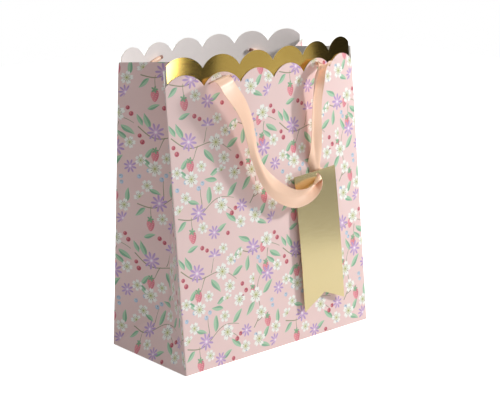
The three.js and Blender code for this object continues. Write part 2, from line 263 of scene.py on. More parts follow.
def cloud(tree, place, scale, detail, **settings):
    values = {"Vector": place, "Scale": scale, "Detail": detail, **settings}
    return wire(tree, "ShaderNodeTexNoise", values).outputs["Fac"]


def mottle(tree, shader, share, dark, pale):
    tree.links.new(blend_colours(tree, share, rgb(dark), rgb(pale)), shader.inputs["Base Color"])


def add_bump(tree, shader, height, strength, distance):
    node = wire(tree, "ShaderNodeBump", {"Height": height, "Strength": strength, "Distance": distance})
    tree.links.new(node.outputs["Normal"], shader.inputs["Normal"])


print("wiring helpers ready")


# %% Arithmetic that becomes nodes
class Number:
    """A number that nodes work out. Plain arithmetic with it adds the nodes."""

    def __init__(self, tree, socket):
        self.tree, self.socket = tree, socket

    def node(self, operation, *values):
        plain = [v.socket if isinstance(v, Number) else v for v in values]
        return Number(self.tree, sums(self.tree, operation, *plain))

    def __add__(self, other):
        return self.node("ADD", self, other)

    def __sub__(self, other):
        return self.node("SUBTRACT", self, other)

    def __rsub__(self, other):
        return self.node("SUBTRACT", other, self)

    def __mul__(self, other):
        return self.node("MULTIPLY", self, other)

    def __pow__(self, power):
        return self.node("POWER", self, power)

    def __abs__(self):
        return self.node("ABSOLUTE", self)

    def below(self, edge, softness):
        """1 where the number is below the edge and 0 above it, with a soft step between."""
        step = wire(self.tree, "ShaderNodeMapRange", {
            "Value": self.socket, "From Min": edge - softness, "From Max": edge + softness,
            "To Min": 1.0, "To Max": 0.0}, clamp=True)
        return Number(self.tree, step.outputs[0])


def sine(number):
    return number.node("SINE", number)


def larger(first, second):
    return first.node("MAXIMUM", first, second)


def length(x, y):
    return (x * x + y * y) ** 0.5


def angle(x, y):
    return x.node("ARCTAN2", y, x)


def paint(below, cover, colour):
    return blend_colours(cover.tree, cover.socket, below, rgb(colour))


print("node arithmetic ready")

# %% [markdown]
# ## The printed flowers
# The print is drawn in the shader, so it stays sharp at any distance and needs no picture. Each kind
# of flower, leaf or fruit is a node group that draws itself round (0, 0) with a radius of 1, and
# gives its colour and the area that it covers. Copies are then placed on a square tile that
# repeats every 102 mm, as the cylinder of a printing press repeats it.


# %% A group that draws one motif
def motif_group(name, draw, *extras):
    """draw(x, y, r, turn, *extras) returns the motif's colour and cover."""
    tree = bpy.data.node_groups.new(name, "ShaderNodeTree")
    tree.interface.new_socket("Place", in_out="INPUT", socket_type="NodeSocketVector")
    for extra in extras:
        tree.interface.new_socket(extra, in_out="INPUT", socket_type="NodeSocketFloat")
    tree.interface.new_socket("Colour", in_out="OUTPUT", socket_type="NodeSocketColor")
    tree.interface.new_socket("Cover", in_out="OUTPUT", socket_type="NodeSocketFloat")
    start = tree.nodes.new("NodeGroupInput")
    place = wire(tree, "ShaderNodeSeparateXYZ", {0: start.outputs["Place"]})
    x, y = (Number(tree, place.outputs[k]) for k in (0, 1))
    extras = [Number(tree, start.outputs[extra]) for extra in extras]
    colour, cover = draw(x, y, length(x, y), angle(x, y), *extras)
    end = tree.nodes.new("NodeGroupOutput")
    tree.links.new(colour, end.inputs["Colour"])
    tree.links.new(cover.socket, end.inputs["Cover"])
    return tree


def petal_wave(turn, half_count):
    """1 along the middle of each petal and 0 between petals."""
    return abs(turn.node("COSINE", turn * half_count))


def flower_kind(variant):
    """Half the number of petals, and the lowest part seen: a flower from its side adds 10."""
    from_side = variant.node("GREATER_THAN", variant, 8.0)
    return variant.node("MODULO", variant, 10.0), from_side * 1.88 - 2.0


# %% White blossom: five or six broad petals, a green eye and a ring of stamens
def draw_blossom(x, y, r, turn, variant):
    half_count, lowest = flower_kind(variant)
    wave = petal_wave(turn, half_count)
    edge = r - (wave ** 0.55 * 0.68 + 0.31 - wave ** 30.0 * 0.17)
    cover = edge.below(0.0, 0.035) * (lowest - y).below(0.0, 0.03)
    colour = paint(rgb("fbfaf4"), wave.below(0.35, 0.30) * 0.55, "c9d2c4")
    colour = paint(colour, abs(edge).below(0.0, 0.09) * 0.5, "e3dcd6")
    colour = paint(colour, r.below(0.30, 0.16) * 0.8, "cfd6a4")
    spokes = turn.node("COSINE", turn * 11.0)
    threads = spokes.below(-0.78, 0.14) * abs(r - 0.32).below(0.13, 0.02)
    tips = spokes.below(-0.72, 0.16) * abs(r - 0.49).below(0.045, 0.02)
    colour = paint(paint(colour, threads * 0.8, "b9b06a"), tips, "6c5f35")
    return paint(colour, r.below(0.10, 0.03), "a9a74c"), cover


# %% Lilac star: eight or nine narrow petals, darker veins and a pale heart
def draw_star(x, y, r, turn, variant):
    half_count, lowest = flower_kind(variant)
    wave = petal_wave(turn, half_count)
    cover = (r - (wave ** 1.15 * 0.80 + 0.22)).below(0.0, 0.035) * (lowest - y).below(0.0, 0.03)
    colour = paint(rgb("bf9ccf"), r.below(0.55, 0.45), "d5b8de")
    vein = (1.0 - wave).below(0.02, 0.02) * r.below(0.72, 0.06)
    colour = paint(paint(colour, vein * 0.6, "a684bd"), r.below(0.25, 0.08), "e9c7e4")
    return paint(colour, r.below(0.14, 0.05), "fbf1f6"), cover


# %% Leaf: a lens shape on a curved midrib, light on one side and dark on the other
def draw_leaf(x, y, r, turn):
    across = y - sine(x * 1.7) * 0.14
    breadth = (0.33 - x * x * 0.33) * (1.0 - x * 0.35)
    cover = (abs(across) - breadth).below(0.0, 0.03) * abs(x).below(0.99, 0.02)
    colour = paint(rgb("b3d6b8"), across.below(0.0, 0.05), "8bbb9a")
    veins = sine(x * 26.0 - abs(across) * 34.0).below(-0.75, 0.2)
    colour = paint(colour, veins * 0.35, "74a888")
    return paint(colour, abs(across).below(0.018, 0.012) * 0.8, "d6e6c4"), cover


# %% Berry: a round fruit with a lit side and dark dots
def berry(body, lit, dot, dots):
    def draw(x, y, r, turn):
        def spot(place, size, softness):
            return length(x - place[0], y - place[1]).below(size, softness)
        colour = paint(rgb(body), spot((-0.25, 0.3), 0.45, 0.4), lit)
        for place in dots:
            colour = paint(colour, spot(place, 0.17, 0.08), dot)
        return colour, r.below(0.93, 0.06)
    return draw


# %% Strawberry: a tapered fruit with pale seeds under a star of leaves
def draw_strawberry(x, y, r, turn):
    breadth = larger(1.0 - y * y, 0.0) ** 0.5 * (y * 0.17 + 0.70)
    fruit = (abs(x) - breadth).below(-0.05, 0.04)
    colour = paint(rgb("df7f8e"), x.below(-0.05, 0.5), "ee9aa4")
    seeds = (sine(y * 11.0) * sine(x * 11.0 + y * 5.5)).below(-0.66, 0.12)
    colour = paint(colour, seeds * 0.75, "f8cfc6")
    tip = y - 0.92
    cap = (length(x, tip) - (petal_wave(angle(x, tip), 2.5) * 0.42 + 0.16)).below(0.0, 0.05)
    return paint(colour, cap, "86b58f"), larger(fruit, cap)


# %% Vine: a thin stem that swings to and fro, given in units of its half length
def draw_vine(x, y, r, turn, swing, waves, breadth):
    beside = y - sine(x * waves) * swing
    cover = (abs(beside) - breadth * (1.0 - x * 0.35)).below(0.0, 0.006) * abs(x).below(0.99, 0.01)
    return paint(rgb("a9a386"), beside.below(0.0, 0.006), "8f8a6c"), cover


# %% The motifs as node groups
motifs = {
    "blossom": motif_group("white blossom", draw_blossom, "Variant"),
    "star": motif_group("lilac star", draw_star, "Variant"),
    "leaf": motif_group("leaf", draw_leaf),
    "red": motif_group("red berry", berry("c9606f", "dd8a92", "6d2b3a", [(0.25, 0.25), (0.1, -0.35)])),
    "blue": motif_group("blue berry", berry("b4c9df", "d4e2ee", "3b4254", [(0.2, 0.35)])),
    "strawberry": motif_group("strawberry", draw_strawberry),
    "vine": motif_group("vine", draw_vine, "Swing", "Waves", "Breadth"),
}
motifs["stem"] = motifs["vine"]
print("motifs:", ", ".join(motifs))

# %% [markdown]
# A spray is a vine with flowers, leaves and fruit along it. Each line below is one motif: its kind,
# its place on the spray, its radius and its turn in degrees. Four sprays, turned differently, fill
# the tile, and single flowers and fruit fill the gaps between them. Lengths are in mm on a design
# 118 mm across, which is printed smaller. A flower's last number is its variant.

# %% The sprays
SPRAYS = [
    ((34, 29, 12), [
        ("vine", 0, 0, 31, 0, 0.15, 3.4, 0.013), ("stem", -19, -10, 8, 72),
        ("stem", 22, -7, 8, -58), ("stem", -3, 10, 9, 74),
        ("leaf", 6, 11, 8.5, 62), ("leaf", 31, 7, 8.0, 24), ("leaf", -29, -7, 6.5, 200),
        ("star", -9, -1, 8.0, 8, 4.5), ("blossom", 16, -3, 8.2, 20, 2.5),
        ("blossom", -27, 7, 6.4, 35, 12.5), ("strawberry", -21, -20, 5.8, -8),
        ("blue", -3, 20, 2.3, 0), ("blue", 2, 23, 2.1, 40), ("red", 25, -14, 2.5, 0),
        ("red", 30, -11, 2.2, 50)]),
    ((89, 53, 76), [
        ("vine", 0, 0, 28, 0, 0.14, 3.2, 0.013), ("stem", -17, -9, 8, 300),
        ("leaf", -10, 8, 7.8, 142), ("leaf", 12, -9, 8.2, -42), ("leaf", 27, 5, 7.0, 30),
        ("blossom", 3, 4, 8.4, 0, 2.5), ("blossom", -13, -6, 7.2, 15, 2.5),
        ("star", 24, -6, 7.6, 0, 4), ("blossom", 18, 10, 6.2, 10, 13),
        ("strawberry", -21, -16, 5.6, -70), ("red", 7, 17, 2.4, 0), ("red", 1, 20, 2.1, 90),
        ("blue", -1, -17, 2.2, 20), ("blue", -6, -19, 2.0, 0)]),
    ((33, 86, -13), [
        ("vine", 0, 0, 32, 0, 0.14, 3.6, 0.013), ("stem", -6, -9, 8, 250),
        ("stem", 2, 9, 7, 80), ("leaf", -25, 9, 8.0, 118),
        ("leaf", 9, -9, 8.4, -50), ("leaf", 32, 6, 7.6, 34), ("star", -14, 1, 8.2, 0, 4.5),
        ("star", 3, 18, 6.6, 10, 14), ("blossom", 14, 4, 8.6, 12, 2.5),
        ("blossom", 25, -9, 7.0, 40, 3), ("strawberry", -9, -20, 5.6, 14),
        ("red", -24, -11, 2.5, 0), ("red", -28, -6, 2.1, 0), ("blue", 21, 17, 2.3, 10),
        ("blue", 26, 14, 2.0, 70)]),
    ((92, 101, -7), [
        ("vine", 0, 0, 25, 0, 0.13, 3.2, 0.015), ("stem", 10, -9, 8, 262),
        ("leaf", -19, 9, 7.6, 150), ("leaf", 20, -7, 8.0, -34), ("star", -8, 1, 7.8, 0, 4),
        ("blossom", 8, 7, 8.0, 30, 2.5), ("strawberry", 9, -19, 5.4, 6),
        ("red", 21, 8, 2.4, 0), ("red", 17, 13, 2.1, 0), ("blossom", -22, -5, 6.0, 70, 12.5)]),
    ((0, 0, 0), [
        ("blossom", 66, 57, 7.4, 0, 2.5), ("blossom", 20, 57, 7.8, 25, 3),
        ("blossom", 88, 14, 8.0, 10, 2.5), ("star", 108, 8, 6.6, 60, 14.5),
        ("leaf", 97, 19, 7.0, 44), ("leaf", 44, 60, 6.4, 200), ("blossom", 52, 61, 5.8, 20, 12.5),
        ("blue", 72, 8, 2.2, 0), ("red", 70, 71, 2.3, 0), ("leaf", 12, 62, 6.6, 120),
        ("blue", 5, 49, 2.1, 30),
        ("blossom", 71, 11, 6.6, 25, 2.5), ("leaf", 60, 17, 7.4, 128), ("star", 41, 6, 6.4, 15, 4),
        ("leaf", 49, 9, 6.6, 20), ("leaf", 77, 89, 7.4, 70), ("blossom", 48, 45, 6.4, 50, 3),
        ("blossom", 109, 21, 6.6, 5, 2.5), ("leaf", 112, 31, 7.0, 75), ("blossom", 6, 64, 6.0, 30, 3),
        ("leaf", 14, 71, 6.6, 40), ("red", 27, 112, 2.3, 0), ("red", 32, 109, 2.1, 0),
        ("blue", 53, 33, 2.2, 0), ("strawberry", 96, 101, 5.4, -20), ("blossom", 58, 96, 6.2, 10, 2.5),
        ("leaf", 66, 101, 6.8, 35), ("leaf", 95, 7, 7.0, -35), ("blue", 84, 19, 2.2, 0),
        ("blue", 88, 15, 2.0, 0), ("leaf", 40, 54, 6.8, 160), ("blossom", 50, 108, 5.6, 40, 3),
        ("leaf", 17, 113, 6.2, 10), ("blossom", 31, 67, 5.8, 15, 2.5), ("blossom", 13, 41, 6.2, 60, 2.5),
        ("leaf", 21, 36, 6.2, -30), ("star", 73, 26, 6.2, 20, 4), ("blue", 90, 92, 2.2, 0),
        ("blue", 92, 88, 2.0, 0), ("blossom", 113, 80, 6.2, 0, 2.5), ("leaf", 105, 87, 6.4, 130),
        ("star", 114, 58, 6.2, 30, 4), ("blossom", 29, 12, 6.0, 10, 3), ("red", 56, 3, 2.2, 0),
        ("leaf", 4, 101, 6.2, 110), ("strawberry", 83, 61, 5.2, 10), ("blue", 14, 55, 2.1, 0)]),
]
TILE = 0.102
PRINT_SCALE = TILE / 118
STEM_SHAPE = (0.1, 2.0, 0.038)  # swing, waves and breadth
PRINT_ORDER = ["stem", "leaf", "red", "blue", "strawberry", "star", "blossom"]
print("motifs on a tile:", sum(len(items) for _, items in SPRAYS))


# %% Where every motif is
def place_sprays():
    """Every motif with its place on the tile in metres, its radius and its turn in radians."""
    for (x, y, turned), items in SPRAYS:
        turned = math.radians(turned)
        for kind, along, across, radius, turn, *extras in items:
            here = Matrix.Rotation(turned, 2) @ Vector((along, across)) + Vector((x, y))
            yield kind, here * PRINT_SCALE, radius * PRINT_SCALE, math.radians(turn) + turned, extras


def from_motif(tree, flat, here):
    """The way from a motif's middle to this point, wrapped round the tile."""
    moved = wire(tree, "ShaderNodeVectorMath", {0: flat, 1: (*here, 0)}, operation="SUBTRACT")
    half = (TILE / 2, TILE / 2, TILE / 2)
    return wire(tree, "ShaderNodeVectorMath", {
        0: moved.outputs[0], 1: half, 2: [-h for h in half]}, operation="WRAP").outputs[0]


def pick(tree, share, first, second):
    node = wire(tree, "ShaderNodeMix", {0: share, 4: first, 5: second}, data_type="VECTOR")
    return node.outputs[1]


# %% [markdown]
# Drawing a hundred motifs one by one would make a slow shader. Motifs of one kind don't overlap, so
# the shader first finds the nearest one of each kind, with its turn and size, and draws each kind once.


# %% The whole print as one node group
def nearest_motif(tree, flat, placed):
    """Local place and variant of the nearest motif of one kind."""
    best = best_far = best_facts = None
    for _, here, radius, turn, extras in placed:
        facts = (-turn, 1 / radius, extras[0] if extras else 0.0)
        away = from_motif(tree, flat, here)
        far = wire(tree, "ShaderNodeVectorMath", {0: away}, operation="LENGTH").outputs["Value"]
        if best is None:
            best, best_far, best_facts = away, far, facts
            continue
        closer = sums(tree, "LESS_THAN", far, best_far)
        best = pick(tree, closer, best, away)
        best_facts = pick(tree, closer, best_facts, facts)
        best_far = sums(tree, "MINIMUM", far, best_far)
    turn, scale, variant = wire(tree, "ShaderNodeSeparateXYZ", {0: best_facts}).outputs
    turned = wire(tree, "ShaderNodeVectorRotate", {"Vector": best, "Angle": turn}, rotation_type="Z_AXIS")
    local = wire(tree, "ShaderNodeVectorMath", {0: turned.outputs[0], "Scale": scale}, operation="SCALE")
    return local.outputs[0], variant


def floral_print():
    tree = bpy.data.node_groups.new("floral print", "ShaderNodeTree")
    tree.interface.new_socket("Flat place", in_out="INPUT", socket_type="NodeSocketVector")
    tree.interface.new_socket("Colour", in_out="OUTPUT", socket_type="NodeSocketColor")
    start = tree.nodes.new("NodeGroupInput")
    x, y, _ = wire(tree, "ShaderNodeSeparateXYZ", {0: start.outputs["Flat place"]}).outputs
    flat = wire(tree, "ShaderNodeCombineXYZ", {0: x, 1: y}).outputs[0]
    colour = blend_colours(tree, cloud(tree, flat, 34.0, 2.0), rgb("f4d9d5"), rgb("f0d3d0"))
    placed = list(place_sprays())
    for _, here, radius, turn, extras in [m for m in placed if m[0] == "vine"]:
        local = wire(tree, "ShaderNodeMapping", {
            "Vector": from_motif(tree, flat, here), "Rotation": (0, 0, turn),
            "Scale": (radius, radius, radius)}, vector_type="TEXTURE")
        vine = wire(tree, "ShaderNodeGroup", {"Place": local.outputs[0]}, node_tree=motifs["vine"])
        for k, value in enumerate(extras):
            vine.inputs[k + 1].default_value = value
        colour = blend_colours(tree, vine.outputs["Cover"], colour, vine.outputs["Colour"])
    for kind in PRINT_ORDER:
        local, variant = nearest_motif(tree, flat, [m for m in placed if m[0] == kind])
        motif = wire(tree, "ShaderNodeGroup", {"Place": local}, node_tree=motifs[kind])
        if "Variant" in motif.inputs:
            tree.links.new(variant, motif.inputs["Variant"])
        if kind == "stem":
            for k, value in enumerate(STEM_SHAPE):
                motif.inputs[k + 1].default_value = value
        colour = blend_colours(tree, motif.outputs["Cover"], colour, motif.outputs["Colour"])
    end = tree.nodes.new("NodeGroupOutput")
    tree.links.new(colour, end.inputs["Colour"])
    return tree


print_group = floral_print()
print("print drawn by", len(print_group.nodes), "nodes")

# %% [markdown]
# ## Paper, card, ribbon and foil
# The printed side has a thin satin film over a fine linen emboss. The back of the sheet is bare
# white paper. Card is grey-white and slightly fibrous. Satin is woven with long threads that
# run along the ribbon, so its gloss is stretched across it. The foil is a thin layer of metal on card.


# %% Printed paper
def linen_bump(tree, shader, vector, strength):
    """Two crossing sets of fine ridges, uneven as pressed by a linen-textured roller."""
    waver = cloud(tree, vector, 500.0, 1.0)
    place = wire(tree, "ShaderNodeSeparateXYZ", {0: vector})
    ridges = [sine(Number(tree, place.outputs[k]) * 9000.0) for k in (0, 1)]
    height = larger(*ridges) + Number(tree, waver) * 1.6
    add_bump(tree, shader, height.socket, strength, 0.00004)


def printed_paper(name, coordinates):
    material, tree, shader = new_material(name, Roughness=0.42, Specular_IOR_Level=0.35)
    place = wire(tree, "ShaderNodeTexCoord").outputs[coordinates]
    printed = wire(tree, "ShaderNodeGroup", {"Flat place": place}, node_tree=print_group)
    tree.links.new(printed.outputs["Colour"], shader.inputs["Base Color"])
    linen_bump(tree, shader, place, 0.5)
    return material


def plain_paper(name, pale, dark, scale=180.0, roughness=0.75):
    material, tree, shader = new_material(name, Roughness=roughness, Specular_IOR_Level=0.25)
    place = wire(tree, "ShaderNodeTexCoord").outputs["Object"]
    mottle(tree, shader, cloud(tree, place, scale, 6.0, Roughness=0.65), dark, pale)
    add_bump(tree, shader, cloud(tree, place, scale * 9, 3.0), 0.35, 0.00006)
    return material


paper_print = printed_paper("floral paper", "UV")
flap_print = printed_paper("floral paper on the bottom flaps", "Object")
paper_inside = plain_paper("white paper inside", "f4f1ec", "ece8e2")
paper_edge = plain_paper("cut paper edge", "fbf6f2", "f0e6e2")
card_inside = plain_paper("uncoated card", "fbf4f2", "f2ebe9", scale=120.0)
card_edge = plain_paper("cut card edge", "f2ead6", "e2d6bb")
grey_board = plain_paper("grey board", "bcb6ab", "9f988d", scale=220.0)
print("papers made")


# %% Gilt foil
def foil(name, colour, deep, roughness, ripple):
    """Metal foil: polished, with faint roller streaks and long shallow ripples."""
    material, tree, shader = new_material(name, Metallic=1.0)
    place = wire(tree, "ShaderNodeTexCoord").outputs["Object"]
    streaks = wire(tree, "ShaderNodeMapping", {"Vector": place, "Scale": (1.0, 1.0, 14.0)})
    grain = cloud(tree, streaks.outputs[0], 90.0, 4.0, Roughness=0.6)
    mottle(tree, shader, grain, deep, colour)
    polish = wire(tree, "ShaderNodeMapRange", {
        "Value": grain, "To Min": roughness * 0.8, "To Max": roughness * 1.25})
    tree.links.new(polish.outputs[0], shader.inputs["Roughness"])
    add_bump(tree, shader, cloud(tree, place, 26.0, 1.0), ripple, 0.001)
    return material


card_foil = foil("gilt foil on card", "d9b968", "cfad58", 0.14, 0.12)
tag_foil = foil("gilt foil on the tag", "efdfae", "e8d5a0", 0.22, 0.05)
print("foils made")


# %% Satin ribbon
def satin(name, face, shade):
    material, tree, shader = new_material(
        name, Roughness=0.36, Specular_IOR_Level=0.55, Anisotropic=0.6, Sheen_Weight=0.25,
        Sheen_Roughness=0.35)
    place = wire(tree, "ShaderNodeTexCoord").outputs["UV"]
    flat = wire(tree, "ShaderNodeSeparateXYZ", {0: place})
    x, y = (Number(tree, flat.outputs[k]) for k in (0, 1))
    drawn_out = wire(tree, "ShaderNodeMapping", {"Vector": place, "Scale": (1.0, 0.03, 1.0)})
    threads = cloud(tree, drawn_out.outputs[0], 3800.0, 3.0)
    mottle(tree, shader, threads, shade, face)
    height = sine(y * 9000.0) * 0.12 + Number(tree, threads)
    edge = abs(x).below(0.0068, 0.0001)
    add_bump(tree, shader, (height - edge * 0.9).socket, 0.35, 0.00005)
    along = wire(tree, "ShaderNodeTangent", direction_type="UV_MAP")
    tree.links.new(along.outputs[0], shader.inputs["Tangent"])
    return material


ribbon_satin = satin("peach satin", "fcdac2", "f8c8a6")
print("satin made")

# %% [markdown]
# ## The printed sheet
# The panels and gussets are one sheet of paper, wrapped round and glued along the back right corner.
# It is laid out flat from the front left corner, s metres along and t metres up. The base triangles'
# folds run at 45 degrees on the sheet, so the rows near the base stand at the same steps as the
# gusset's columns, and the folds run from corner to corner of the squares.

# %% Columns and rows of the flat sheet
FOLD_STEPS = [0.0, 0.00045, 0.0009, 0.0016]
gusset_half = FOLD_STEPS + [0.0016 + k * 0.00406 for k in range(1, 11)] + [
    HALF_GUSSET - step for step in FOLD_STEPS[:0:-1]]
gusset_columns = sorted({round(c, 7) for c in (
    gusset_half + [BAG_DEPTH - c for c in gusset_half] + [HALF_GUSSET])})
panel_columns = sorted(set(round(c, 7) for c in (
    FOLD_STEPS + [BAG_WIDTH - step for step in FOLD_STEPS]
    + [k * PITCH / 16 for k in range(1, SCALLOPS * 16)])))
RING = 2 * (BAG_WIDTH + BAG_DEPTH)
PANEL_2 = BAG_WIDTH + BAG_DEPTH  # where the back panel begins
ring_columns = (panel_columns + [BAG_WIDTH + c for c in gusset_columns[1:]]
                + [PANEL_2 + c for c in panel_columns[1:]]
                + [PANEL_2 + BAG_WIDTH + c for c in gusset_columns[1:]])
low_rows = sorted(set(round(c, 7) for c in gusset_half + [HALF_GUSSET]))
high_shares = [k / 34 for k in range(1, 35)]
print(len(ring_columns), "columns,", len(low_rows) + len(high_shares), "rows")


# %% From the flat sheet to the folded bag
def sheet_top(s):
    """Height of the cut edge: scallops on the panels, straight on the gussets."""
    for first in (0.0, PANEL_2):
        if first - 1e-6 <= s <= first + BAG_WIDTH + 1e-6:
            return scallop_height(s - first - BAG_WIDTH / 2, CUT_HEIGHT - PRINT_DROP)
    return CUT_HEIGHT - PRINT_DROP if abs(s - RING) < 1e-6 else CUT_HEIGHT


def gusset_point(hand, a, t):
    """a is the distance from the front corner fold, t the height on the flat sheet."""
    front, back = (corner_point(wall, hand, 0) for wall in ("front", "back"))
    foot = crease_point(hand, CREASE_FOOT_HEIGHT)
    near = min(a, BAG_DEPTH - a)
    if t <= near:
        return front.lerp(back, a / BAG_DEPTH) + (foot - (front + back) / 2) * (t / HALF_GUSSET)
    wall, base = ("front", front) if a < HALF_GUSSET else ("back", back)
    share = near / HALF_GUSSET
    top = corner_point(wall, hand, CUT_HEIGHT).lerp(crease_point(hand, CUT_HEIGHT), share)
    return base.lerp(foot, share).lerp(top, (t - near) / (CUT_HEIGHT - near))


def folded(s, t):
    s %= RING
    if s <= BAG_WIDTH:
        return wall_point("front", s - BAG_WIDTH / 2, t)
    if s < PANEL_2:
        return gusset_point(1, s - BAG_WIDTH, t)
    if s <= PANEL_2 + BAG_WIDTH:
        return wall_point("back", PANEL_2 + BAG_WIDTH / 2 - s, t)
    return gusset_point(-1, RING - s, t)


def rounded(s, t, reach=0.0008):
    """Paper can't fold sharply: the mean over a short stretch of it rounds each fold."""
    return sum((folded(s + k * reach / 2, t) for k in (-2, -1, 0, 1, 2)), Vector()) / 5


def buckle(s, t):
    """How far the paper stands off its flat: nothing at the folds, the base and the cards."""
    first = max(c for c in (0.0, BAG_WIDTH, PANEL_2, PANEL_2 + BAG_WIDTH) if c <= s % RING + 1e-9)
    panel = first in (0.0, PANEL_2)
    across = (s % RING - first) / (BAG_WIDTH if panel else BAG_DEPTH)
    across = min(max(across, 0.0), 1.0)
    height = min(max(t / (CUT_HEIGHT - CARD_DEPTH if panel else CUT_HEIGHT), 0.0), 1.0)
    wave = noise.noise(Vector((s * 11.0, t * 9.0, 3.1)))
    wave += 0.5 * noise.noise(Vector((s * 31.0, t * 23.0, 8.4)))
    if panel:
        return 0.0009 * wave * math.sin(math.pi * across) ** 0.7 * math.sin(math.pi * height)
    near_crease = abs(math.sin(2 * math.pi * across))
    return 0.0011 * wave * near_crease * math.sin(math.pi * min(height * 1.05, 1.0))


print("crease foot", tuple(round(c, 4) for c in folded(BAG_WIDTH + HALF_GUSSET, HALF_GUSSET)))

# %% Fold the printed sheet
shell, i, j = flat_sheet("printed_sheet", ring_columns, low_rows + high_shares)
column_s = np.array(ring_columns)[i]
column_top = np.array([sheet_top(s) for s in ring_columns])[i]
low = np.array(low_rows + [0.0] * len(high_shares))[j]
share = np.array([0.0] * len(low_rows) + high_shares)[j]
row_t = np.where(j < len(low_rows), low, HALF_GUSSET + (column_top - HALF_GUSSET) * share)
lay_flat(shell, column_s, row_t)
points = []
for s, t in zip(column_s, row_t):
    here, right, above = rounded(s, t), rounded(s + 0.001, t), rounded(s, t + 0.001)
    outward = (right - here).cross(above - here).normalized()
    points.append(here + outward * buckle(s, t))
move_points(shell, points)
print("ring of", len(shell.data.vertices), "points")

# %% Crease the base triangles, glue the ring shut and give the paper its thickness
def edit(operation=None, whole=False, **settings):
    """Run an operation on the chosen faces or on the whole mesh, and leave nothing chosen."""
    bpy.ops.object.mode_set(mode="EDIT")
    if whole:
        bpy.ops.mesh.select_all(action="SELECT")
    if operation:
        operation(**settings)
    bpy.ops.mesh.select_all(action="DESELECT")
    bpy.ops.object.mode_set(mode="OBJECT")


edit()
for rising, quad_method in ((True, "FIXED"), (False, "FIXED_ALTERNATE")):
    uv = shell.data.uv_layers.active.data
    for face in shell.data.polygons:
        s = sum(uv[k].uv[0] for k in face.loop_indices) / face.loop_total
        t = sum(uv[k].uv[1] for k in face.loop_indices) / face.loop_total
        for first in (BAG_WIDTH, PANEL_2 + BAG_WIDTH):
            a = s - first if rising else first + BAG_DEPTH - s
            if 0 < a < HALF_GUSSET and abs(a - t) < 1e-5:
                face.select = True
    edit(bpy.ops.mesh.quads_convert_to_tris, quad_method=quad_method)
edit(bpy.ops.mesh.remove_doubles, whole=True, threshold=0.00002)
finish_with(shell, paper_print, paper_inside, paper_edge)
thicken(shell, PAPER, inside=1, edge=2)
smooth(shell, 50)
report(shell)

# %% [markdown]
# ## Gilded cards
# Behind each scalloped edge a gilded card stands higher than the print, with scallops of its own.
# Its outer face carries the foil, and its inner face is bare grey-white card.


# %% Cut and bow the two cards
def gilded_card(wall):
    limit = BAG_WIDTH / 2 - 0.003
    along = [-BAG_WIDTH / 2 + k * PITCH / 20 for k in range(SCALLOPS * 20 + 1)]
    along = sorted({min(max(a, -limit), limit) for a in along})
    rows = [k / 16 for k in range(17)]
    card, i, j = flat_sheet(wall + "_card", along, rows)
    a = np.array(along)[i]
    top = np.array([scallop_height(x, CUT_HEIGHT) for x in along])[i]
    bottom = CUT_HEIGHT - CARD_DEPTH
    t = bottom + (top - bottom) * np.array(rows)[j]
    lay_flat(card, a, t)
    inward = (PAPER + CARD) / 2 + GAP
    hand = 1 if wall == "front" else -1
    move_points(card, [wall_point(wall, hand * x, z, inward) for x, z in zip(a, t)])
    finish_with(card, card_foil, card_inside, card_edge)
    thicken(card, CARD, inside=1, edge=2)
    return card


cards = {wall: gilded_card(wall) for wall in WALLS}
print("cards:", ", ".join(card.name for card in cards.values()))

# %% [markdown]
# ## Slots for the ribbons
# Each ribbon passes through a slanted slot in the second and the fifth scallop, cut through print and
# card together. A slim box is turned into the slot's place and cut away with a Boolean.

# %% Where the slots are
SLOT_SPREAD, SLOT_HEIGHT, SLOT_TILT = 0.055, CUT_HEIGHT - 0.0095, math.radians(18)
RIBBON_WIDTH = 0.015


def slot_place(wall, hand):
    """The slot's middle, the slanted line it is cut along and the way out of it."""
    side = WALLS[wall][0]
    middle = wall_point(wall, hand * SLOT_SPREAD, SLOT_HEIGHT)
    inner = wall_point(wall, hand * (SLOT_SPREAD - 0.001), SLOT_HEIGHT)
    level = (inner - middle).normalized()
    outward = Vector((-level.y, level.x, 0)) * (-hand * side)
    line = level * math.cos(SLOT_TILT) + Vector((0, 0, math.sin(SLOT_TILT)))
    return middle, line, outward


def cut_slots(piece, wall, length, width):
    for hand in (-1, 1):
        middle, line, outward = slot_place(wall, hand)
        select_only()
        bpy.ops.mesh.primitive_cube_add(size=1)
        cutter = bpy.context.object
        turned = Matrix((line, outward, line.cross(outward))).transposed().to_4x4()
        cutter.data.transform(Matrix.Translation(middle) @ turned
                              @ Matrix.Diagonal((length, 0.008, width, 1)))
        cut_away(piece, cutter)


for wall in WALLS:
    cut_slots(shell, wall, RIBBON_WIDTH + 0.0012, 0.0011)
    cut_slots(cards[wall], wall, RIBBON_WIDTH + 0.0012, 0.0011)
    smooth(cards[wall], 50)
    report(cards[wall])
smooth(shell, 50)
report(shell)

# %% [markdown]
# ## Ribbon handles
# A satin ribbon can twist, curl across its width and crease along its length, but it can't stretch.
# Its route is a few stations: the middle of the ribbon, the direction across it, how far it is
# curled (degrees from edge to edge) and how sharply it is creased along a line (degrees, and where
# across the width). A smooth curve runs through the stations, and the flat ribbon is laid along it.


